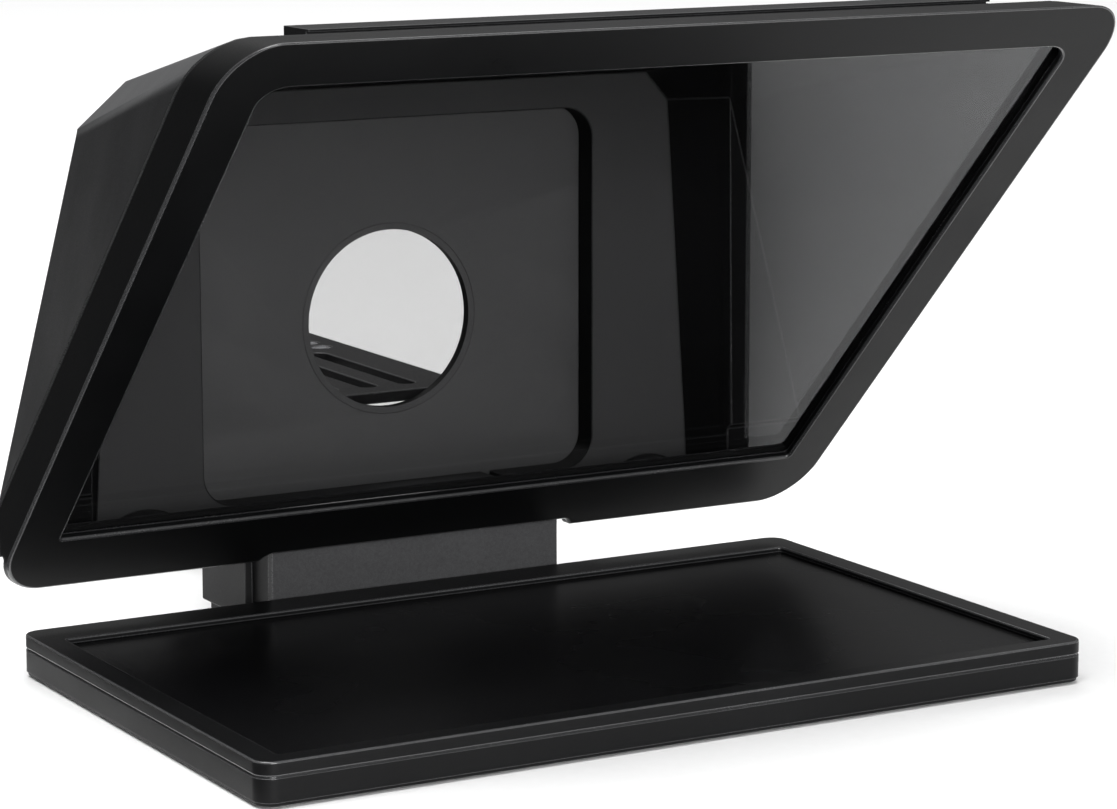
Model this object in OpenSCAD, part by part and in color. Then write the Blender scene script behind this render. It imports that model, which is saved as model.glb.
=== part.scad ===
// Teleprompter: flat display, 45 degree beam splitter, hood and camera support.
// Datum: x = 0 on the centre line, y = 0 and z = 0 at the display's top rear edge.
// place() moves the datum so that the part stands on z = 0, centred on its box.

/* [Display] */
// outer width of the display housing
tray_w = 217; // [200:1:240]
// depth of the display housing
tray_d = 134.9; // [120:0.1:150]
// height of the display housing
tray_h = 9.9; // [8:0.1:14]
// height of the upper bezel above the parting line
bezel_h = 3.36; // [2:0.1:5]
// width of the screen window
window_w = 203.6; // [180:0.1:210]
// depth of the screen window
window_d = 117.1; // [100:0.1:125]
// bezel width behind the window
window_back = 12.2; // [6:0.1:20]
// wall thickness of the display housing
tray_wall = 2; // [1.2:0.1:3]
// thickness of the rubber pads
pad_h = 0.6; // [0.4:0.1:2]

/* [Mirror frame] */
// width over the frame
frame_w = 229; // [210:1:250]
// height of the frame's lower edge above the display
frame_z = 9.8; // [5:0.1:20]
// height of the frame's top above the display
frame_top = 151.2; // [130:0.1:170]
// where the front face meets height zero
frame_cut = 10.64; // [5:0.01:20]
// corner radius of the frame seen from behind
frame_r = 12; // [6:0.5:20]
// thickness of the front bezel
bezel_t = 2.8; // [2:0.1:4]
// depth of the side band behind the front face
band_d = 17.56; // [10:0.01:25]
// width of the glass opening
open_w = 206; // [180:0.5:215]
// slope height of the opening's lower edge
open_u0 = 20.7; // [12:0.1:30]
// slope height of the opening's upper edge
open_u1 = 185.5; // [160:0.1:190]
// wall thickness of frame and hood
wall = 2.2; // [1.5:0.1:3]

/* [Glass] */
// glass width
glass_w = 214; // [190:0.5:220]
// glass thickness
glass_t = 1.5; // [1:0.1:3]
// depth of the glass behind the front face
glass_in = 2.4; // [1:0.1:4]

/* [Hood] */
// underside of the hood
hood_z0 = 19.6; // [15:0.1:25]
// rear plane of the hood's shoulder
shoulder_y = -2.5; // [-10:0.1:5]
// front face of the rear wall
wall_y = 8.2; // [5:0.1:15]
// width of the rear opening
back_w = 111.2; // [90:0.1:120]
// lower edge of the rear opening
back_z0 = 23.3; // [20:0.1:30]
// upper edge of the rear opening
back_z1 = 117.6; // [100:0.1:125]
// front face of the backplate
plate_y = 15.4; // [12:0.1:20]
// thickness of the backplate
plate_t = 2.6; // [2:0.1:4]
// radius of the lens opening
lens_r = 22.9; // [15:0.1:40]
// height of the lens axis above the display
lens_z = 65.6; // [55:0.1:75]

/* [Base] */
// half width of the neck
neck_x = 41; // [30:0.5:50]
// rear face of the base housing
base_y = 40; // [30:0.5:60]
// top of the base housing behind the neck
base_top = 16.4; // [12:0.1:17]
// radius of the tripod thread
thread_r = 3.175; // [3.175:0.001:4.763]
// where the tripod thread sits
thread_y = 22; // [15:0.5:30]
// where the power socket sits
usb_x = 21.5; // [21:0.1:22]

/* [Camera support] */
// half width of the arm rail
arm_x = 14; // [10:0.5:20]
// underside of the arm rail
arm_z = 2; // [1:0.1:4]
// height of the arm rail
arm_h = 12; // [8:0.5:16]
// rear end of the arm rail
arm_y1 = 152; // [120:1:180]
// front face of the carriage
car_y = 82; // [70:1:100]
// length of the carriage
car_l = 24; // [18:1:40]
// half width of the camera plate
cam_x = 25.2; // [20:0.1:35]
// top of the camera plate
cam_z = 46.2; // [40:0.1:55]
// thickness of the camera plate
cam_t = 3; // [2:0.1:5]
// rear end of the camera plate
cam_y1 = 130; // [110:1:150]
// spacing of the plate slots
slot_dx = 11.2; // [9:0.1:16]
// half width of a slot
slot_r = 2.5; // [2:0.1:4]
// where the camera screw stands in its slot
screw_y = 70; // [30:1:75]

/* [Hidden] */
$fn = 64;
s45 = sqrt(0.5);
shift = [0, -(arm_y1 + 3 + frame_cut - frame_top) / 2, tray_h + pad_h];
frame_y = frame_cut - frame_z;
rear_cut = frame_cut + band_d;
rear_dn = band_d * s45;
car_mid = car_y + car_l / 2;
knob_z = arm_z + arm_h / 2;

module place() {
  translate(shift) children();
}

// local x, slope height u and outward normal of the frame's front face
module on_mirror() {
  translate([0, frame_y, frame_z]) rotate([135, 0, 0]) children();
}

// box from corner to corner
module box(a, b) {
  translate(a) cube(b - a);
}

// upright rounded block
module rblock(x0, y0, z0, x1, y1, z1, r) {
  box([x0 + r, y0, z0], [x1 - r, y1, z1]);
  box([x0, y0 + r, z0], [x1, y1 - r, z1]);
  for (x = [x0 + r, x1 - r])
    for (y = [y0 + r, y1 - r])
      translate([x, y, z0]) cylinder(r = r, h = z1 - z0);
}

// rounded block whose rounded outline is seen along y
module yblock(x0, z0, x1, z1, y0, y1, r) {
  translate([0, y1, 0]) rotate([90, 0, 0]) rblock(x0, z0, 0, x1, z1, y1 - y0, r);
}

// solid on the hood side of the plane y + z = c
module behind(c) {
  translate([-150, c, 0]) rotate([45, 0, 0]) translate([0, 0, -300]) cube([300, 500, 600]);
}

// horizontal cylinder along y and along x
module ycyl(x, y0, y1, z, r) {
  translate([x, y0, z]) rotate([-90, 0, 0]) cylinder(r = r, h = y1 - y0);
}
module xcyl(x0, x1, y, z, r) {
  translate([x0, y, z]) rotate([0, 90, 0]) cylinder(r = r, h = x1 - x0);
}

// positions that repeat
function tray_screw_pts() = [for (x = [-103, -35, 35, 103]) [x, -4.9]];
function snap_xs() = [-78, -26, 26, 78];
function base_screw_pts() = [for (x = [-32, 32]) for (y = [9, 34]) [x, y]];
function clip_us() = [45, 103, 161];

// ---------------------------------------------------------------- display

module display_lower_shell() {
  color("#232426") place() difference() {
    union() {
      rblock(-tray_w / 2 + 0.4, -tray_d + 0.4, -tray_h, tray_w / 2 - 0.4, -0.4, -tray_h + 0.8, 4.1);
      rblock(-tray_w / 2, -tray_d, -tray_h + 0.8, tray_w / 2, 0, -bezel_h - 0.35, 4.5);
      rblock(-tray_w / 2 + 0.4, -tray_d + 0.4, -tray_h + 0.8, tray_w / 2 - 0.4, -0.4, -bezel_h, 4.1);
      box([-neck_x, -6, -tray_h], [neck_x, base_y - 2, -7.4]);
    }
    difference() {
      rblock(-tray_w / 2 + tray_wall, -tray_d + tray_wall, -tray_h + 1.4,
             tray_w / 2 - tray_wall, -tray_wall, 0, 3);
      for (p = tray_screw_pts()) translate([p[0], p[1], -tray_h]) cylinder(r = 2.6, h = tray_h - bezel_h);
    }
    for (p = tray_screw_pts()) {
      translate([p[0], p[1], -tray_h - 1]) cylinder(r = 2, h = 2.1);
      translate([p[0], p[1], -tray_h - 1]) cylinder(r = 1.05, h = 9);
    }
    translate([0, thread_y, -tray_h - 1]) cylinder(r = 5.6, h = 5);
    for (p = base_screw_pts()) {
      translate([p[0], p[1], -tray_h - 1]) cylinder(r = 2.9, h = 2.2);
      translate([p[0], p[1], -tray_h - 1]) cylinder(r = 1.6, h = 5);
    }
    for (x = [-9, 9]) {
      translate([x, 32, -tray_h - 1]) cylinder(r = 3, h = 2.2);
      translate([x, 32, -tray_h - 1]) cylinder(r = 1.6, h = 5);
    }
    box([-12, -3, -7.2], [12, 1, -5.6]);
    for (x = snap_xs()) box([x - 6.4, -tray_d + 1.2, -6.7], [x + 6.4, -tray_d + 3, -5.3]);
  }
}

module display_bezel() {
  wy = -window_back - window_d;
  front = -tray_d + tray_wall;
  color("#26272a") place() {
    difference() {
      rblock(-tray_w / 2, -tray_d, -bezel_h, tray_w / 2, 0, 0, 4.5);
      rblock(-window_w / 2, wy, -5, window_w / 2, -window_back, 1, 1);
      rblock(-105.2, -131.6, -5, 105.2, -9, -1.5, 1);
      for (p = tray_screw_pts()) translate([p[0], p[1], -bezel_h - 1]) cylinder(r = 0.85, h = 3.2);
    }
    for (x = snap_xs()) {
      box([x - 6, front + 0.05, -6.5], [x + 6, front + 1.15, -bezel_h + 0.2]);
      box([x - 6, front - 0.5, -6.5], [x + 6, front + 0.5, -5.5]);
    }
  }
}

module screen_glass() {
  color("#08080a") place() box([-105, -131.4, -2.6], [105, -9.2, -1.5]);
}

module lcd_cell() {
  color("#30343a") place() box([-104, -130.8, -4], [104, -10, -2.6]);
}

module backlight_unit() {
  color("#d8dadd") place() difference() {
    box([-101, -126, -6.4], [101, -11, -4]);
    box([60, -24, -6.5], [84, -10, -5.6]);
  }
}

module driver_board() {
  color("#14532d") place() difference() {
    box([-60, -62, -8.4], [60, -8, -7.2]);
    for (x = [-54, 54]) translate([x, -56, -9]) cylinder(r = 1.2, h = 3);
  }
}

module board_chips() {
  color("#1c1c1e") place() {
    box([-12, -44, -7.2], [6, -26, -6.5]);
    box([20, -50, -7.2], [32, -38, -6.6]);
    box([-40, -30, -7.2], [-30, -20, -6.7]);
    box([38, -24, -7.2], [50, -18, -6.6]);
  }
}

module display_flex() {
  color("#b5762a") place() {
    box([64, -22, -6.4], [80, -12, -6.1]);
    box([64, -12, -7.2], [80, -10.4, -6.1]);
    box([56, -12, -7.2], [64, -10.4, -6.9]);
  }
}

module tray_screws() {
  color("#8d9094") place() for (p = tray_screw_pts()) translate([p[0], p[1], 0]) {
    difference() {
      translate([0, 0, -tray_h + 0.1]) cylinder(r = 1.9, h = 0.95);
      box([-1.3, -0.25, -tray_h], [1.3, 0.25, -tray_h + 0.5]);
    }
    translate([0, 0, -tray_h + 1.05]) cylinder(r = 0.8, h = 6.9);
  }
}

module tray_pads() {
  color("#101011") place() for (x = [-92, 92]) for (y = [-122, -14])
    translate([x, y, -tray_h - pad_h]) cylinder(r = 6, h = pad_h);
}

// ------------------------------------------------------------------- base

module base_housing() {
  color("#202123") place() difference() {
    union() {
      box([-neck_x, 3.3, -7.4], [neck_x, wall_y + 1, hood_z0]);
      box([-neck_x, wall_y + 1, -7.4], [neck_x, 12.5, base_top]);
      rblock(-43.1, 12.5, -7.4, 43.1, base_y, base_top, 2);
      box([-43.1, 12.5, -7.4], [43.1, 20, base_top]);
    }
    difference() {
      box([-38.5, 5.5, -5.4], [38.5, base_y - 2, base_top - 1.5]);
      translate([0, thread_y, -6]) cylinder(r = 8, h = 7);
      for (x = [-9, 9]) translate([x, 32, -6]) cylinder(r = 3.6, h = arm_z + 6);
      for (p = base_screw_pts()) translate([p[0], p[1], -6]) cylinder(r = 3.4, h = 16);
      for (x = [usb_x - 4, usb_x + 4]) translate([x, 27, -6]) cylinder(r = 1.8, h = 6.6);
    }
    translate([0, thread_y, -8]) cylinder(r = 5.53, h = 7.6);
    for (x = [-9, 9]) translate([x, 32, -8]) cylinder(r = 1.55, h = 12);
    for (p = base_screw_pts()) translate([p[0], p[1], -8]) cylinder(r = 1.25, h = 13);
    box([-arm_x - 0.1, base_y - 3, arm_z - 0.1], [arm_x + 0.1, base_y + 1, arm_z + arm_h + 0.1]);
    box([usb_x - 4.5, base_y - 3, 1.8], [usb_x + 4.5, base_y + 1, 5]);
    box([-12, 2, -5], [12, 6, -2]);
  }
}

module neck_cover() {
  color("#3d3e41") place() difference() {
    box([-neck_x, 1, -7.4], [neck_x, 3.2, 11.8]);
    box([-neck_x + 2, 2.2, -5], [neck_x - 2, 4, 9]);
  }
}

module thread_insert() {
  color("#b08d3e") place() difference() {
    translate([0, thread_y, -tray_h]) cylinder(r = 5.5, h = 9.4);
    translate([0, thread_y, -tray_h - 1]) cylinder(r = thread_r, h = 12);
  }
}

module usb_socket() {
  color("#a9adb2") place() translate([usb_x, 0, 3.4]) difference() {
    yblock(-4.4, -1.5, 4.4, 1.5, base_y - 8, base_y - 0.3, 1.4);
    yblock(-4.1, -1.2, 4.1, 1.2, base_y - 7, base_y + 1, 1.1);
  }
}

module usb_board() {
  color("#14532d") place() {
    box([usb_x - 6, 24, 0.6], [usb_x + 6, base_y - 2.3, 1.8]);
    translate([usb_x, 0, 3.4]) box([-3.3, base_y - 7, -0.35], [3.3, base_y - 1.6, 0.35]);
    box([usb_x - 5, 25, 1.8], [usb_x - 2, 29, 3]);
  }
}

module base_screws() {
  color("#8d9094") place() for (p = base_screw_pts()) translate([p[0], p[1], 0]) {
    difference() {
      translate([0, 0, -tray_h + 0.2]) cylinder(r = 2.7, h = 0.95);
      box([-1.8, -0.35, -tray_h], [1.8, 0.35, -tray_h + 0.7]);
    }
    translate([0, 0, -tray_h + 1.15]) cylinder(r = 1.2, h = 12);
  }
}

// ----------------------------------------------------------- mirror frame

module housing_prism(inset) {
  yblock(-frame_w / 2 + inset, frame_z + inset, frame_w / 2 - inset, frame_top - inset,
         -160, 40, frame_r - inset);
}

module front_frame() {
  d = frame_w / 2 - wall;
  color("#1d1e20") place() difference() {
    intersection() {
      housing_prism(0);
      behind(frame_cut);
    }
    behind(rear_cut);
    intersection() {
      behind(frame_cut + bezel_t / s45);
      box([-150, shoulder_y - 1, 0], [150, 60, 60]);
    }
    difference() {
      behind(frame_cut + bezel_t / s45);
      box([-150, -200, hood_z0], [150, 60, hood_z0 + wall]);
      difference() {
        box([-150, -200, hood_z0], [150, 60, 200]);
        yblock(-d, hood_z0 - 20, d, frame_top - wall, -160, 40, frame_r - wall);
      }
    }
    on_mirror() {
      rblock(-open_w / 2, open_u0, -5, open_w / 2, open_u0 + 60, 1, 1);
      rblock(-open_w / 2, open_u0 + 20, -5, open_w / 2, open_u1, 1, 6);
      box([-glass_w / 2 - 0.2, 16.6, -5], [glass_w / 2 + 0.2, 189.5, -glass_in]);
      for (x = [-1, 1]) for (u = clip_us()) translate([x * 109.6, u, -5]) cylinder(r = 0.83, h = 3.6);
    }
    translate([0, 30, 0]) rotate([90, 0, 0]) linear_extrude(60)
      polygon([[-44.5, 9], [-44.5, frame_z], [-42.5, 11.9], [42.5, 11.9], [44.5, frame_z], [44.5, 9]]);
  }
}

module beam_splitter() {
  color("#8899a5", 0.35) place() on_mirror()
    box([-glass_w / 2, 16.8, -glass_in - glass_t], [glass_w / 2, 189.3, -glass_in]);
}

module glass_gasket() {
  n = -glass_in - glass_t;
  color("#0c0c0d") place() on_mirror() difference() {
    box([-glass_w / 2 + 0.2, 17.2, n - 0.7], [glass_w / 2 - 0.2, 189, n]);
    box([-glass_w / 2 + 3.2, 20.2, n - 2], [glass_w / 2 - 3.2, 186, n + 1]);
  }
}

module glass_clips() {
  n = -glass_in - glass_t - 0.7;
  color("#1a1a1b") place() on_mirror() for (x = [-1, 1]) for (u = clip_us()) difference() {
    union() {
      box([x * 107.8 - 3.8, u - 6, n - 1.4], [x * 107.8 + 3.8, u + 6, n]);
      box([x * 109.6 - 2, u - 6, n - 1.4], [x * 109.6 + 2, u + 6, -bezel_t]);
    }
    translate([x * 109.6, u, -12]) cylinder(r = 0.95, h = 14);
  }
}

module clip_screws() {
  n = -glass_in - glass_t - 2.1;
  color("#8d9094") place() on_mirror() for (x = [-1, 1]) for (u = clip_us()) translate([x * 109.6, u, 0]) {
    difference() {
      translate([0, 0, n - 1]) cylinder(r = 1.8, h = 1);
      box([-1.2, -0.25, n - 1.5], [1.2, 0.25, n - 0.5]);
    }
    translate([0, 0, n]) cylinder(r = 0.8, h = -n - 1.5);
  }
}

// ------------------------------------------------------------------- hood

// outline of the hood's main shell where it leaves the frame
module hood_front(inset, lift, z0) {
  r = frame_r - inset;
  x = frame_w / 2 - inset;
  cz = frame_top - frame_r;
  dn = (rear_cut - frame_cut) * s45 + lift;
  zs = concat([[x, z0]], [for (a = [0 : 15 : 90]) [x - r + r * cos(a), cz + r * sin(a)]]);
  pr = [for (p = zs) [p[0], (p[1] - frame_z) / s45 - dn]];
  pl = [for (i = [len(pr) - 1 : -1 : 0]) [-pr[i][0], pr[i][1]]];
  on_mirror() translate([0, 0, -dn]) linear_extrude(0.1) polygon(concat(pr, pl));
}

// outline in an upright plane, given for the right half
module upright(y, half) {
  other = [for (i = [len(half) - 1 : -1 : 0]) [-half[i][0], half[i][1]]];
  translate([0, y, 0]) rotate([90, 0, 0]) linear_extrude(0.1) polygon(concat(half, other));
}

module hood_shell() {
  color("#2b2c2f") place() {
    difference() {
      union() {
        intersection() {
          hull() {
            hood_front(0, -1, 34);
            hood_front(0, 0.2, 32);
            upright(shoulder_y - 6, [[114.5, hood_z0], [114.5, 30.7]]);
            upright(shoulder_y, [[114.5, hood_z0], [114.5, 30.7], [91.7, 120.7], [79, 131.3]]);
          }
          union() {
            behind(rear_cut);
            box([-150, shoulder_y - 1, 0], [150, 20, 40]);
          }
        }
        hull() {
          upright(shoulder_y, [[93.2, hood_z0], [91.7, 120.7], [79, 131.3]]);
          upright(wall_y + 2.5, [[87, hood_z0], [80.6, 119.5], [73, 128.2]]);
        }
        yblock(-66, 16.9, 66, 124, wall_y + 1, plate_y + plate_t, 8);
      }
      hull() {
        hood_front(wall, -0.6, 33);
        hood_front(wall, 0.15, 33);
        upright(shoulder_y - wall, [[112.3, hood_z0 + wall], [112.3, 31], [89.5, 119.5], [77.9, 129]]);
      }
      box([-112.3, -20, hood_z0 + wall], [112.3, shoulder_y - wall, 34]);
      hull() {
        upright(shoulder_y - wall, [[91, hood_z0 + wall], [89.5, 119.5], [77.9, 129]]);
        upright(wall_y, [[84.8, hood_z0 + wall], [78.4, 118.4], [71.5, 126]]);
      }
      yblock(-back_w / 2, back_z0, back_w / 2, back_z1, 0, 30, 8);
      yblock(-63.8, 19.1, 63.8, 121.8, plate_y, 30, 6);
      ycyl(27.5, 0, 30, back_z0 - 0.4, 1.3);
      for (x = [-60, 60]) for (z = [40, 70.5, 101]) ycyl(x, plate_y - 2, 30, z, 3.05);
    }
    for (x = [-1, 1]) intersection() {
      ycyl(x * 72, 3.5, wall_y + 1, 9.4, 15);
      box([-90, 0, hood_z0 + 1], [90, wall_y + 1, 30]);
    }
  }
}

module accessory_rail() {
  color("#19191b") place() translate([-87.6, 0, 0]) rotate([90, 0, 90]) linear_extrude(175.2)
    polygon([[-119.6, 150.68], [-119.6, 150.9], [-118.2, 150.9], [-118.2, 151.3], [-119.6, 151.3],
             [-119.6, 151.9], [-107.5, 151.9], [-107.5, 148.7]]);
}

module hood_magnets() {
  color("#b9bcc0") place() for (x = [-60, 60]) for (z = [40, 70.5, 101])
    ycyl(x, plate_y - 2, plate_y, z, 3);
}

module backplate() {
  color("#2d2e31") place() difference() {
    yblock(-63.5, 19.4, 63.5, 121.5, plate_y, plate_y + plate_t, 5.7);
    ycyl(0, 0, 30, lens_z, 24.53);
    for (x = [-60, 60]) for (z = [40, 70.5, 101]) ycyl(x, plate_y - 1, plate_y + 1, z, 2.75);
  }
}

module keeper_discs() {
  color("#9a9da1") place() for (x = [-60, 60]) for (z = [40, 70.5, 101])
    ycyl(x, plate_y, plate_y + 0.97, z, 2.7);
}

module lens_ring() {
  color("#141415") place() difference() {
    ycyl(0, plate_y, plate_y + plate_t, lens_z, 24.5);
    ycyl(0, 0, 30, lens_z, lens_r);
  }
}

// --------------------------------------------------------- camera support

module arm_rail() {
  color("#2a2b2e") place() difference() {
    box([-arm_x, base_y - 24, arm_z], [arm_x, arm_y1, arm_z + arm_h]);
    for (x = [-1, 1]) box([x * arm_x - 2.6, 0, knob_z - 2.1], [x * arm_x + 2.6, 200, knob_z + 2.1]);
    for (x = [-9, 9]) translate([x, 32, 0]) cylinder(r = 1.55, h = 8);
    ycyl(0, arm_y1 - 10, arm_y1 + 1, knob_z, 1.55);
  }
}

module arm_screws() {
  color("#8d9094") place() {
    for (x = [-9, 9]) translate([x, 32, 0]) {
      translate([0, 0, -tray_h + 0.2]) cylinder(r = 2.8, h = 0.95);
      translate([0, 0, -tray_h + 1.15]) cylinder(r = 1.5, h = 16);
    }
    ycyl(0, arm_y1 - 8, arm_y1 + 2, knob_z, 1.5);
    ycyl(0, arm_y1 + 2, arm_y1 + 3, knob_z, 2.8);
  }
}

module arm_end_cap() {
  color("#151516") place() difference() {
    yblock(-arm_x - 1.2, arm_z - 1.2, arm_x + 1.2, arm_z + arm_h + 1.2, arm_y1, arm_y1 + 3, 2);
    ycyl(0, arm_y1 - 1, arm_y1 + 4, knob_z, 1.6);
    ycyl(0, arm_y1 + 1.9, arm_y1 + 4, knob_z, 3);
  }
}

module carriage() {
  color("#1f2022") place() difference() {
    rblock(-21, car_y, arm_z - 3, 21, car_y + car_l, arm_z + arm_h + 3.5, 2.5);
    box([-arm_x - 0.3, 0, arm_z - 0.3], [arm_x + 0.3, 200, arm_z + arm_h + 0.3]);
    xcyl(-30, 30, car_mid, knob_z, 2.5);
  }
}

// knob with eight grip grooves, its shaft running in from one side
module side_knob(dir) {
  translate([0, car_mid, knob_z]) rotate([0, dir * 90, 0]) {
    difference() {
      translate([0, 0, 25.2]) cylinder(r = 8, h = 9.5);
      for (a = [0 : 45 : 315]) rotate([0, 0, a + 22.5])
        translate([9.2, 0, 24]) cylinder(r = 2, h = 12);
      translate([0, 0, 33.9]) cylinder(r = 4.5, h = 2);
    }
    translate([0, 0, 14.7]) cylinder(r = 2.42, h = 10.6);
  }
}

module rail_knob() {
  color("#111112") place() side_knob(1);
}

module height_knob() {
  color("#111112") place() side_knob(-1);
}

module riser_bracket() {
  y0 = car_mid - 8;
  y1 = car_mid + 8;
  color("#242527") place() difference() {
    union() {
      box([-24.8, y0, cam_z - cam_t - 2.5], [24.8, y1, cam_z - cam_t]);
      for (x = [-1, 1]) box([x * 23.05 - 1.75, y0, 3], [x * 23.05 + 1.75, y1, cam_z - cam_t]);
    }
    for (z = [knob_z, knob_z + 12]) xcyl(-30, 30, car_mid, z, 2.8);
    box([-30, car_mid - 2.8, knob_z], [30, car_mid + 2.8, knob_z + 12]);
    for (x = [-17, 17]) for (y = [y0 + 4, y1 - 4]) translate([x, y, 38]) cylinder(r = 1.25, h = 9);
  }
}

module camera_plate() {
  color("#2b2c2f") place() difference() {
    rblock(-cam_x, 18.5, cam_z - cam_t, cam_x, cam_y1, cam_z, 2);
    for (x = [-slot_dx, 0, slot_dx]) {
      for (y = [26 + slot_r, 82 - slot_r]) translate([x, y, 40]) cylinder(r = slot_r, h = 10);
      box([x - slot_r, 26 + slot_r, 40], [x + slot_r, 82 - slot_r, 50]);
    }
    translate([0, 79, 40]) cylinder(r = 3.5, h = 10);
    for (x = [-17, 17]) for (y = [car_mid - 4, car_mid + 4]) translate([x, y, 0]) {
      translate([0, 0, 40]) cylinder(r = 1.6, h = 10);
      translate([0, 0, cam_z - 1.4]) cylinder(r = 2.9, h = 3);
    }
  }
}

module plate_screws() {
  color("#8d9094") place() for (x = [-17, 17]) for (y = [car_mid - 4, car_mid + 4]) translate([x, y, 0]) {
    difference() {
      translate([0, 0, cam_z - 1.4]) cylinder(r = 2.7, h = 1.2);
      box([-1.6, -0.35, cam_z - 0.8], [1.6, 0.35, cam_z]);
    }
    translate([0, 0, cam_z - cam_t - 2.4]) cylinder(r = 1.2, h = cam_t + 1);
  }
}

module screw_washer() {
  color("#d7d7d2") place() translate([0, screw_y, cam_z - cam_t - 1.4]) difference() {
    cylinder(r = 7, h = 1);
    translate([0, 0, -1]) cylinder(r = 2.7, h = 3);
  }
}

module camera_screw() {
  color("#b4b7bb") place() translate([0, screw_y, 0]) {
    difference() {
      translate([0, 0, cam_z - cam_t - 11]) cylinder(r = 8.5, h = 9.3);
      for (a = [0 : 20 : 340]) rotate([0, 0, a]) translate([8.9, 0, 30]) cylinder(r = 0.8, h = 12);
      box([-7, -0.7, 30], [7, 0.7, cam_z - cam_t - 9.4]);
    }
    translate([0, 0, cam_z - cam_t - 1.8]) cylinder(r = 2.2, h = cam_t + 2.3);
    translate([0, 0, cam_z + 0.4]) cylinder(r = 3.175, h = 5.5);
  }
}

display_lower_shell();
display_bezel();
screen_glass();
lcd_cell();
backlight_unit();
driver_board();
board_chips();
display_flex();
tray_screws();
tray_pads();
base_housing();
neck_cover();
thread_insert();
usb_socket();
usb_board();
base_screws();
front_frame();
beam_splitter();
glass_gasket();
glass_clips();
clip_screws();
hood_shell();
accessory_rail();
hood_magnets();
backplate();
keeper_discs();
lens_ring();
arm_rail();
arm_screws();
arm_end_cap();
carriage();
rail_knob();
height_knob();
riser_bracket();
camera_plate();
plate_screws();
screw_washer();
camera_screw();
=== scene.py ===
import math

import bpy
from mathutils import Matrix, Vector


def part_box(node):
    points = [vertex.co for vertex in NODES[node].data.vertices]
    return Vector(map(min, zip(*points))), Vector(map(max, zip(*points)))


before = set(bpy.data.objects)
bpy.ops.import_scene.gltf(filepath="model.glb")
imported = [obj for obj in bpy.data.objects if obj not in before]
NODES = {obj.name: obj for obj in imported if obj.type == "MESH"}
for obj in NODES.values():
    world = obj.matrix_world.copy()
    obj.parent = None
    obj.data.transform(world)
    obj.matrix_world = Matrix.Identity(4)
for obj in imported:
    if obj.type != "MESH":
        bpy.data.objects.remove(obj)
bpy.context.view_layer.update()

MM = 0.001

# the stretch along y over which the hood's rear wall fades into its inside tone, painted light that
# makes the front-facing wall paler
WALL_FROM = -8 * MM
WALL_TO = -5 * MM

# half of the display's picture area, across and from front to back
PICTURE_X = 99.5 * MM
PICTURE_Y = 56.5 * MM

# edge rounding: vertices joined, faces counted as one, and edges counted as sharp
WELD_GAP = 0.002 * MM
FLAT_ANGLE = math.radians(0.4)
EDGE_ANGLE = math.radians(28)

# the floor's half width, and where its two sheets meet along x
FLOOR_REACH = 7.0
FLOOR_SEAM = -0.12

CAMERA_PLACE = (-0.42908, -0.82808, 0.22371)
CAMERA_YAW = math.radians(-29.79)
CAMERA_PITCH = math.radians(10.26)
CAMERA_ROLL = math.radians(-0.05)
SENSOR_MM = 36.0
LENS_MM = 120.0


# ------------------------------------------------------------------ materials

class Paint:
    """One procedural material on the Principled shader, mapped by object coordinates in metres."""

    def __init__(self, name):
        self.material = bpy.data.materials.new(name)
        self.material.use_nodes = True
        self.tree = self.material.node_tree
        self.shader = self.tree.nodes["Principled BSDF"]
        self.texture = self.tree.nodes.new("ShaderNodeTexCoord")
        self.coords = self.texture.outputs["Object"]

    def node(self, kind, **settings):
        made = self.tree.nodes.new(kind)
        for key, value in settings.items():
            setattr(made, key, value)
        return made

    def put(self, socket, value):
        if hasattr(value, "is_output"):
            self.tree.links.new(value, socket)
        else:
            socket.default_value = value

    def set(self, **values):
        for key, value in values.items():
            self.put(self.shader.inputs[key.replace("_", " ")], value)

    def split(self, vector):
        made = self.node("ShaderNodeSeparateXYZ")
        self.put(made.inputs[0], vector)
        return made.outputs

    def stretched(self, scale):
        made = self.node("ShaderNodeMapping")
        self.put(made.inputs["Vector"], self.coords)
        made.inputs["Scale"].default_value = scale
        return made.outputs["Vector"]

    def noise(self, size, detail=2.0, rough=0.5, vector=None):
        made = self.node("ShaderNodeTexNoise")
        self.put(made.inputs["Vector"], vector or self.coords)
        made.inputs["Scale"].default_value = 1.0 / size
        made.inputs["Detail"].default_value = detail
        made.inputs["Roughness"].default_value = rough
        return made.outputs["Fac"]

    def cells(self, size):
        made = self.node("ShaderNodeTexVoronoi", feature="F1")
        self.put(made.inputs["Vector"], self.coords)
        made.inputs["Scale"].default_value = 1.0 / size
        return made.outputs["Distance"]

    def remap(self, value, a, b, c=0.0, d=1.0):
        made = self.node("ShaderNodeMapRange")
        self.put(made.inputs["Value"], value)
        for key, number in zip(("From Min", "From Max", "To Min", "To Max"), (a, b, c, d)):
            made.inputs[key].default_value = number
        return made.outputs["Result"]

    def math(self, operation, a, b=0.0):
        made = self.node("ShaderNodeMath", operation=operation)
        self.put(made.inputs[0], a)
        self.put(made.inputs[1], b)
        return made.outputs[0]

    def mix(self, amount, a, b):
        made = self.node("ShaderNodeMix", data_type="RGBA")
        self.put(made.inputs["Factor"], amount)
        self.put(made.inputs[6], a)
        self.put(made.inputs[7], b)
        return made.outputs[2]

    def bump(self, height, depth):
        made = self.node("ShaderNodeBump")
        self.put(made.inputs["Height"], height)
        made.inputs["Distance"].default_value = depth
        made.inputs["Strength"].default_value = 1.0
        return made.outputs["Normal"]

    def edges(self, amount):
        """How much painted highlight an outside edge gets, from 0 to amount."""
        point = self.node("ShaderNodeNewGeometry").outputs["Pointiness"]
        return self.remap(point, 0.52, 0.62, 0.0, amount)


def rgb(r, g, b, k=1.0):
    return (r * k, g * k, b * k, 1.0)


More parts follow.
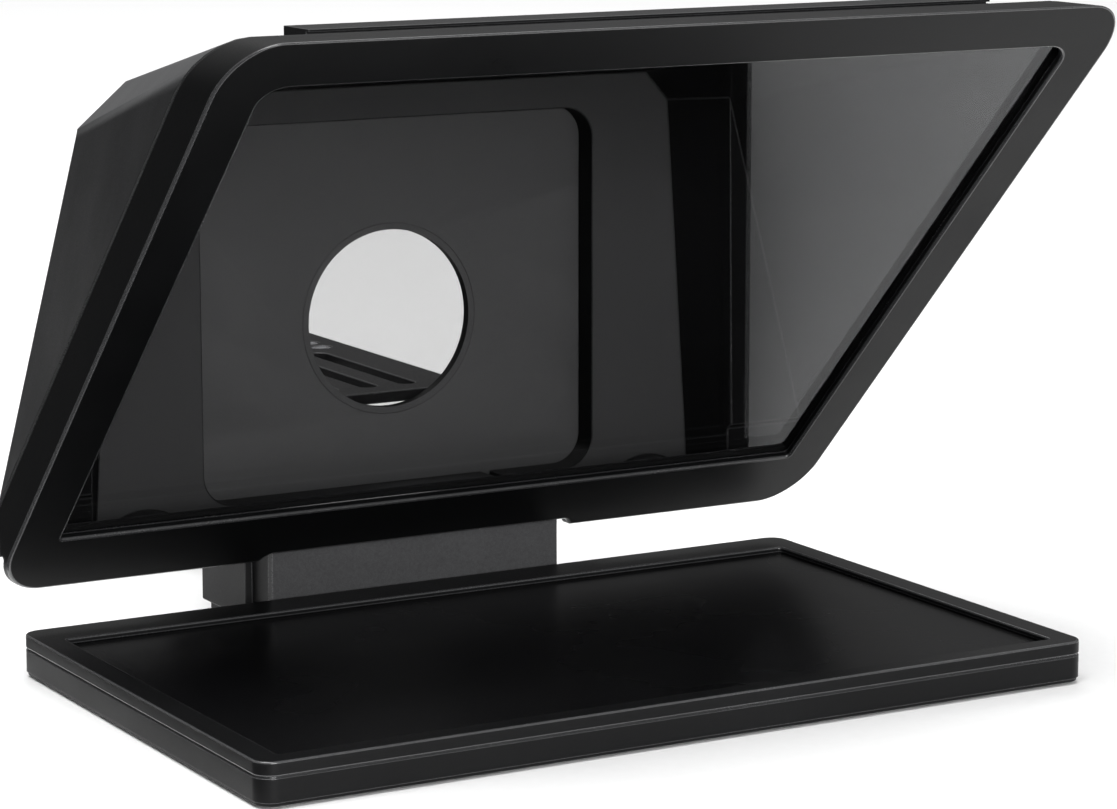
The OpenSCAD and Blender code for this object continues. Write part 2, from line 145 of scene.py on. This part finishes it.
def plastic(name, colour, rough, level, grain=0.32 * MM, depth=0.012 * MM, mottle=0.14,
            inside=None, painted_top_light=None):
    """Moulded plastic: fine spark-eroded grain and a cloudy tone.
    inside is painted light: a paler tone on the rear wall's faces that look towards the reader,
    standing in for the light that falls on them; top is painted light too: a paler tone on the faces
    that look up."""
    p = Paint(name)
    fine = p.noise(grain, 2.0, 0.6)
    cloud = p.noise(38 * MM, 3.0, 0.55)
    speck = p.noise(1.1 * MM, 2.0, 0.5)
    tone = p.mix(p.remap(cloud, 0.32, 0.68), rgb(*colour, 1 - mottle), rgb(*colour, 1 + mottle))
    tone = p.mix(p.remap(fine, 0.35, 0.75, 0.0, 0.45), tone, rgb(*colour, 1.7))
    tone = p.mix(p.remap(speck, 0.3, 0.55, 0.25, 0.0), tone, rgb(*colour, 0.6))
    if inside:
        # painted light: the rear wall's front-facing faces get a paler, lit copy of the colour
        facing = p.remap(p.split(p.texture.outputs["Normal"])["Y"], -0.85, -0.98)
        on_wall = p.remap(p.split(p.coords)["Y"], WALL_FROM, WALL_TO)
        painted_lit_tone = p.mix(fine, rgb(*inside, 0.85), rgb(*inside, 1.15))
        tone = p.mix(p.math("MULTIPLY", facing, on_wall), tone, painted_lit_tone)
    if painted_top_light:
        # painted light: faces that look up get a paler copy of the colour, standing in for the overhead
        # light
        upward = p.remap(p.split(p.texture.outputs["Normal"])["Z"], 0.3, 0.6)
        tone = p.mix(upward, tone, p.mix(fine, rgb(*painted_top_light, 0.85), rgb(*painted_top_light, 1.15)))
    broad = p.remap(cloud, 0.3, 0.7, rough - 0.05, rough + 0.05)
    gloss = p.math("ADD", broad, p.remap(fine, 0.3, 0.7, -0.05, 0.06))
    relief = p.math("ADD", fine, p.math("MULTIPLY", speck, 0.5))
    p.set(Base_Color=tone, Roughness=gloss, Specular_IOR_Level=level, Normal=p.bump(relief, depth))
    return p.material


def lining():
    """Lining of the lens opening: face painted pale to match the plate's painted light tone, bore
    flocked nearly black.
    """
    p = Paint("lining_flock")
    fine = p.noise(0.3 * MM, 2.0, 0.6)
    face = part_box("lens_ring")[0].y
    dark = p.mix(fine, rgb(0.004, 0.004, 0.0042), rgb(0.008, 0.008, 0.0084))
    # painted light: the ring's face gets the same paler tone as the plate's painted light
    painted_lit_tone = p.mix(fine, rgb(0.134, 0.1345, 0.1375), rgb(0.176, 0.177, 0.181))
    inward = p.remap(p.split(p.coords)["Y"], face + 0.03 * MM, face + 0.12 * MM)
    tone = p.mix(inward, painted_lit_tone, dark)
    p.set(Base_Color=tone, Roughness=p.remap(fine, 0.3, 0.7, 0.5, 0.62), Specular_IOR_Level=0.2)
    p.set(Normal=p.bump(fine, 0.01 * MM))
    return p.material


def metal(name, colour, rough, turned=(1, 1, 1)):
    """Bare or plated metal, with drawn or turned marks along one direction and dull spots."""
    p = Paint(name)
    marks = p.noise(1.6 * MM, 3.0, 0.6, p.stretched(turned))
    dull = p.noise(2.5 * MM, 4.0, 0.6)
    tone = p.mix(p.remap(marks, 0.3, 0.7), rgb(*colour, 0.86), rgb(*colour, 1.08))
    tone = p.mix(p.remap(dull, 0.55, 0.75, 0.0, 0.4), tone, rgb(*colour, 0.62))
    # painted highlight: convex edges made paler
    tone = p.mix(p.edges(0.5), tone, rgb(*colour, 1.25))
    streaks = p.remap(marks, 0.3, 0.7, rough - 0.07, rough + 0.07)
    gloss = p.math("ADD", streaks, p.remap(dull, 0.5, 0.75, 0.0, 0.1))
    p.set(Base_Color=tone, Roughness=gloss, Normal=p.bump(marks, 0.006 * MM), Metallic=1.0)
    return p.material


def coated(name, colour, rough, level, size, depth):
    """Powder coat or anodised finish: orange peel over fine grit."""
    p = Paint(name)
    peel = p.noise(size, 2.0, 0.5)
    grit = p.noise(size * 0.22, 2.0, 0.6)
    cloud = p.noise(26 * MM, 3.0, 0.5)
    tone = p.mix(p.remap(cloud, 0.3, 0.7), rgb(*colour, 0.88), rgb(*colour, 1.14))
    tone = p.mix(p.remap(grit, 0.5, 0.8, 0.0, 0.5), tone, rgb(*colour, 1.9))
    broad = p.remap(peel, 0.3, 0.7, rough - 0.06, rough + 0.06)
    gloss = p.math("ADD", broad, p.remap(grit, 0.4, 0.8, 0.0, 0.06))
    p.set(Base_Color=tone, Roughness=gloss, Specular_IOR_Level=level)
    p.set(Normal=p.bump(p.math("ADD", peel, p.math("MULTIPLY", grit, 0.4)), depth))
    return p.material


def screen_surface():
    """Display front: nearly black panel with a darker printed border, fine anti-glare sparkle."""
    p = Paint("screen_surface")
    low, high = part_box("lcd_cell")
    spot = p.split(p.coords)
    across = p.math("ABSOLUTE", spot["X"])
    along = p.math("ABSOLUTE", p.math("SUBTRACT", spot["Y"], (low.y + high.y) / 2))
    blur = 0.1 * MM
    inside_x = p.remap(across, PICTURE_X - blur, PICTURE_X + blur, 1.0, 0.0)
    inside_y = p.remap(along, PICTURE_Y - blur, PICTURE_Y + blur, 1.0, 0.0)
    inside = p.math("MULTIPLY", inside_x, inside_y)
    grit = p.noise(0.16 * MM, 2.0, 0.6)
    film = p.noise(55 * MM, 3.0, 0.55)
    tone = p.mix(inside, rgb(0.0016, 0.0016, 0.0018), rgb(0.003, 0.003, 0.0034))
    tone = p.mix(p.remap(grit, 0.55, 0.8, 0.0, 0.5), tone, rgb(0.006, 0.006, 0.0068))
    p.set(Base_Color=tone, Roughness=p.remap(film, 0.3, 0.7, 0.24, 0.3), Specular_IOR_Level=0.1)
    p.set(Normal=p.bump(grit, 0.002 * MM))
    return p.material


def mirror_glass():
    """Beam splitter: clear glass with a thin partly reflecting coating."""
    p = Paint("mirror_glass")
    dust = p.noise(0.5 * MM, 2.0, 0.7)
    coat = p.noise(70 * MM, 2.0, 0.5)
    tone = p.mix(p.remap(coat, 0.3, 0.7), rgb(0.18, 0.183, 0.186), rgb(0.2, 0.203, 0.206))
    p.set(Base_Color=tone, Metallic=1.0, Roughness=p.remap(dust, 0.3, 0.8, 0.015, 0.03))
    p.set(Alpha=p.remap(dust, 0.2, 0.8, 0.29, 0.31))
    return p.material


def circuit_board():
    """Green solder mask over tracks."""
    p = Paint("circuit_board_mask")
    lanes = p.node("ShaderNodeTexBrick", offset=0.5)
    p.put(lanes.inputs["Vector"], p.coords)
    tracks = {"Scale": 420.0, "Mortar Size": 0.035, "Brick Width": 0.9, "Row Height": 0.32}
    for key, number in tracks.items():
        lanes.inputs[key].default_value = number
    cloud = p.noise(9 * MM, 3.0, 0.6)
    tone = p.mix(lanes.outputs["Fac"], rgb(0.008, 0.085, 0.03), rgb(0.03, 0.17, 0.07))
    tone = p.mix(p.remap(cloud, 0.45, 0.7, 0.0, 0.4), tone, rgb(0.006, 0.05, 0.02))
    p.set(Base_Color=tone, Roughness=p.remap(cloud, 0.3, 0.7, 0.28, 0.4), Specular_IOR_Level=0.5)
    p.set(Normal=p.bump(lanes.outputs["Fac"], 0.03 * MM))
    return p.material


def foam(name, colour, size, depth):
    """Soft matt foam or rubber with open pores."""
    p = Paint(name)
    pores = p.cells(size)
    soft = p.noise(6 * MM, 3.0, 0.6)
    tone = p.mix(p.remap(pores, 0.0, 0.6), rgb(*colour, 0.5), rgb(*colour, 1.5))
    tone = p.mix(p.remap(soft, 0.35, 0.7, 0.0, 0.4), tone, rgb(*colour, 2.0))
    p.set(Base_Color=tone, Roughness=p.remap(soft, 0.3, 0.7, 0.82, 0.95), Specular_IOR_Level=0.2)
    p.set(Normal=p.bump(pores, depth))
    return p.material


# base colour, roughness and specular level of each finish
PAINTS = {
    # hood and backplate: the inside tone is painted light on the rear wall, the top tone painted light
    # on upward faces
    "hood": plastic("hood_plastic", (0.009, 0.0092, 0.0097), 0.52, 0.05,
                    inside=(0.108, 0.1085, 0.111), painted_top_light=(0.075, 0.0755, 0.077)),
    "backplate": plastic("backplate_plastic", (0.02, 0.0202, 0.021), 0.5, 0.3,
                         inside=(0.155, 0.156, 0.159)),
    "frame": plastic("frame_plastic", (0.0025, 0.0026, 0.0028), 0.36, 0.1,
                     grain=0.26 * MM, depth=0.008 * MM),
    "tray": plastic("tray_plastic", (0.0044, 0.0045, 0.0048), 0.38, 0.13,
                    grain=0.26 * MM, depth=0.008 * MM),
    "neck": plastic("neck_plastic", (0.047, 0.0473, 0.049), 0.5, 0.16),
    "base": plastic("base_plastic", (0.008, 0.0081, 0.0085), 0.48, 0.14),
    "ring": lining(),
    "knob": plastic("knob_plastic", (0.012, 0.012, 0.0125), 0.42, 0.4, grain=0.5 * MM, depth=0.02 * MM),
    "clip": plastic("clip_plastic", (0.016, 0.016, 0.017), 0.45, 0.4),
    "white": plastic("diffuser_plastic", (0.6, 0.61, 0.62), 0.5, 0.4, mottle=0.04),
    "nylon": plastic("nylon_plastic", (0.55, 0.54, 0.5), 0.45, 0.5, mottle=0.06),
    "chip": plastic("chip_epoxy", (0.018, 0.018, 0.019), 0.55, 0.35, grain=0.12 * MM),
    "flex": plastic("flex_film", (0.36, 0.16, 0.035), 0.35, 0.5, grain=0.8 * MM),
    "rail": coated("rail_anodised", (0.008, 0.0081, 0.0087), 0.38, 0.12, 0.5 * MM, 0.004 * MM),
    "bracket": coated("bracket_powder", (0.014, 0.014, 0.0147), 0.5, 0.16, 0.9 * MM, 0.02 * MM),
    "screw": metal("screw_steel", (0.5, 0.5, 0.52), 0.32),
    "socket": metal("socket_steel", (0.62, 0.63, 0.65), 0.26, turned=(1, 0.08, 1)),
    "thread": metal("thread_steel", (0.62, 0.62, 0.64), 0.24, turned=(0.15, 0.15, 3)),
    "magnet": metal("magnet_nickel", (0.66, 0.65, 0.62), 0.18),
    "brass": metal("brass_insert", (0.62, 0.44, 0.17), 0.28, turned=(0.15, 0.15, 3)),
    "rubber": foam("pad_rubber", (0.014, 0.014, 0.014), 0.35 * MM, 0.02 * MM),
    "foam": foam("seal_foam", (0.009, 0.009, 0.0095), 0.5 * MM, 0.06 * MM),
    "screen": screen_surface(),
    "glass": mirror_glass(),
    "board": circuit_board(),
}

# finish of the rounded edges: smoother and glossier than the faces beside them, with a paler colour
# that is a painted highlight
EDGE_GLOSS_AND_HIGHLIGHT = {
    "hood": plastic("hood_edge", (0.03, 0.0303, 0.0315), 0.3, 0.4),
    "backplate": plastic("backplate_edge", (0.06, 0.0605, 0.062), 0.4, 0.4),
    "frame": plastic("frame_edge", (0.024, 0.0243, 0.0255), 0.22, 0.7, depth=0.003 * MM),
    "tray": plastic("tray_edge", (0.034, 0.0344, 0.0358), 0.22, 0.75, depth=0.003 * MM),
    "neck": plastic("neck_edge", (0.06, 0.0605, 0.062), 0.3, 0.5),
    "base": plastic("base_edge", (0.02, 0.0202, 0.021), 0.32, 0.4),
    "knob": plastic("knob_edge", (0.03, 0.03, 0.031), 0.3, 0.5),
    "rail": coated("rail_edge", (0.06, 0.0605, 0.062), 0.28, 0.5, 0.5 * MM, 0.002 * MM),
    "bracket": coated("bracket_edge", (0.055, 0.055, 0.057), 0.4, 0.5, 0.9 * MM, 0.01 * MM),
}

# the finish that each node wears
WEARS = {
    "display_lower_shell": "tray", "display_bezel": "tray", "screen_glass": "screen",
    "lcd_cell": "screen", "backlight_unit": "white", "driver_board": "board",
    "board_chips": "chip", "display_flex": "flex", "tray_screws": "screw", "tray_pads": "rubber",
    "base_housing": "base", "neck_cover": "neck", "thread_insert": "brass",
    "usb_socket": "socket", "usb_board": "board", "base_screws": "screw",
    "front_frame": "frame", "beam_splitter": "glass", "glass_gasket": "foam",
    "glass_clips": "clip", "clip_screws": "screw", "hood_shell": "hood",
    "accessory_rail": "rail", "hood_magnets": "magnet", "backplate": "backplate",
    "keeper_discs": "screw", "lens_ring": "ring", "arm_rail": "rail", "arm_screws": "screw",
    "arm_end_cap": "knob", "carriage": "base", "rail_knob": "knob", "height_knob": "knob",
    "riser_bracket": "bracket", "camera_plate": "bracket", "plate_screws": "screw",
    "screw_washer": "nylon", "camera_screw": "thread",
}

# edge rounding in millimetres
ROUNDS = {
    "display_lower_shell": 0.12, "display_bezel": 0.45, "tray_screws": 0.12, "tray_pads": 0.15,
    "driver_board": 0.08, "board_chips": 0.08, "base_housing": 0.3, "neck_cover": 0.3,
    "thread_insert": 0.2, "usb_socket": 0.08, "usb_board": 0.08, "base_screws": 0.15,
    "front_frame": 0.7, "glass_clips": 0.2, "clip_screws": 0.12, "hood_shell": 0.35,
    "accessory_rail": 0.08, "hood_magnets": 0.15, "backplate": 0.12, "keeper_discs": 0.12,
    "arm_rail": 0.5, "arm_screws": 0.15, "arm_end_cap": 0.5, "carriage": 0.7, "rail_knob": 0.4,
    "height_knob": 0.4, "riser_bracket": 0.4, "camera_plate": 0.35, "plate_screws": 0.15,
    "screw_washer": 0.12, "camera_screw": 0.25,
}


def soften(part, width, flat):
    """Rounds the part's edges without touching its mesh; flat keeps wide faces exactly even."""
    for face in part.data.polygons:
        face.use_smooth = True
    weld = part.modifiers.new("weld", "WELD")
    weld.merge_threshold = WELD_GAP
    flats = part.modifiers.new("flats", "DECIMATE")
    flats.decimate_type = "DISSOLVE"
    flats.angle_limit = FLAT_ANGLE
    bevel = part.modifiers.new("rounding", "BEVEL")
    bevel.width = width * MM
    bevel.segments = 3
    bevel.limit_method = "ANGLE"
    bevel.angle_limit = EDGE_ANGLE
    bevel.harden_normals = not flat
    if len(part.data.materials) > 1:
        # the bevel faces take the second slot, whose paler colour is a painted highlight
        bevel.material = 1
    bevel.use_clamp_overlap = False
    bevel.miter_outer = "MITER_ARC"
    if flat:
        shade = part.modifiers.new("shade", "WEIGHTED_NORMAL")
        shade.weight = 100


for name, part in NODES.items():
    part.data.materials.clear()
    part.data.materials.append(PAINTS[WEARS[name]])
    if WEARS[name] in EDGE_GLOSS_AND_HIGHLIGHT:
        part.data.materials.append(EDGE_GLOSS_AND_HIGHLIGHT[WEARS[name]])
    if name in ROUNDS:
        soften(part, ROUNDS[name], name != "backplate")


# ------------------------------------------------------------------ surroundings

def stage_floor():
    """Pale paper in two sheets, edge to edge: only the right-hand one shows in reflections."""
    p = Paint("floor_paper")
    fleck = p.noise(3 * MM, 3.0, 0.6)
    p.set(Base_Color=p.mix(fleck, rgb(0.83, 0.83, 0.83), rgb(0.87, 0.87, 0.87)), Roughness=0.85)
    p.set(Specular_IOR_Level=0.2)
    sheets = (("floor_left", -FLOOR_REACH, FLOOR_SEAM), ("floor_right", FLOOR_SEAM, FLOOR_REACH))
    for name, x0, x1 in sheets:
        y0, y1 = -FLOOR_REACH, FLOOR_REACH
        mesh = bpy.data.meshes.new(name)
        mesh.from_pydata([(x0, y0, 0), (x1, y0, 0), (x1, y1, 0), (x0, y1, 0)], [], [(0, 1, 2, 3)])
        mesh.materials.append(p.material)
        floor = bpy.data.objects.new(name, mesh)
        bpy.context.scene.collection.objects.link(floor)
        floor.visible_glossy = name == "floor_right"


def softbox(name, place, target, size, power):
    data = bpy.data.lights.new(name, "AREA")
    data.shape = "RECTANGLE"
    data.size, data.size_y = size
    data.energy = power
    lamp = bpy.data.objects.new(name, data)
    lamp.location = place
    lamp.rotation_mode = "QUATERNION"
    lamp.rotation_quaternion = (Vector(target) - Vector(place)).to_track_quat("-Z", "Y")
    bpy.context.scene.collection.objects.link(lamp)


def surroundings():
    """Grey studio, paler overhead, with three softboxes."""
    world = bpy.data.worlds.new("studio")
    world.use_nodes = True
    tree = world.node_tree
    back = tree.nodes["Background"]
    where = tree.nodes.new("ShaderNodeTexCoord")
    split = tree.nodes.new("ShaderNodeSeparateXYZ")
    ramp = tree.nodes.new("ShaderNodeValToRGB")
    tree.links.new(where.outputs["Generated"], split.inputs[0])
    tree.links.new(split.outputs["Z"], ramp.inputs["Fac"])
    tree.links.new(ramp.outputs["Color"], back.inputs["Color"])
    ramp.color_ramp.elements[0].position = 0.15
    ramp.color_ramp.elements[0].color = (0.12, 0.12, 0.122, 1)
    ramp.color_ramp.elements[1].position = 0.75
    ramp.color_ramp.elements[1].color = (0.8, 0.8, 0.8, 1)
    back.inputs["Strength"].default_value = 0.8
    bpy.context.scene.world = world
    softbox("overhead", (-0.6, -0.1, 2.5), (0, 0, 0), (1.6, 1.6), 74)
    softbox("far_floor", (1.8, 3.3, 3.6), (1.8, 3.1, 0), (2.4, 2.4), 62)
    softbox("front", (-0.4, -2.3, 0.6), (0, 0, 0.1), (1.3, 0.9), 48)


def camera():
    """Long lens from the front left, a little above the object."""
    yaw, pitch, roll = CAMERA_YAW, CAMERA_PITCH, CAMERA_ROLL
    back = Vector((math.sin(yaw) * math.cos(pitch), -math.cos(yaw) * math.cos(pitch), math.sin(pitch)))
    right = Vector((math.cos(yaw), math.sin(yaw), 0.0))
    up = back.cross(right)
    level_right = math.cos(roll) * right + math.sin(roll) * up
    level_up = -math.sin(roll) * right + math.cos(roll) * up
    data = bpy.data.cameras.new("camera")
    data.sensor_width = SENSOR_MM
    data.lens = LENS_MM
    data.clip_start, data.clip_end = 0.05, 60.0
    cam = bpy.data.objects.new("camera", data)
    turn = Matrix((level_right, level_up, back)).transposed().to_4x4()
    cam.matrix_world = Matrix.Translation(CAMERA_PLACE) @ turn
    bpy.context.scene.collection.objects.link(cam)
    bpy.context.scene.camera = cam


stage_floor()
surroundings()
camera()
bpy.context.scene.view_settings.view_transform = "Standard"
bpy.context.scene.view_settings.look = "None"
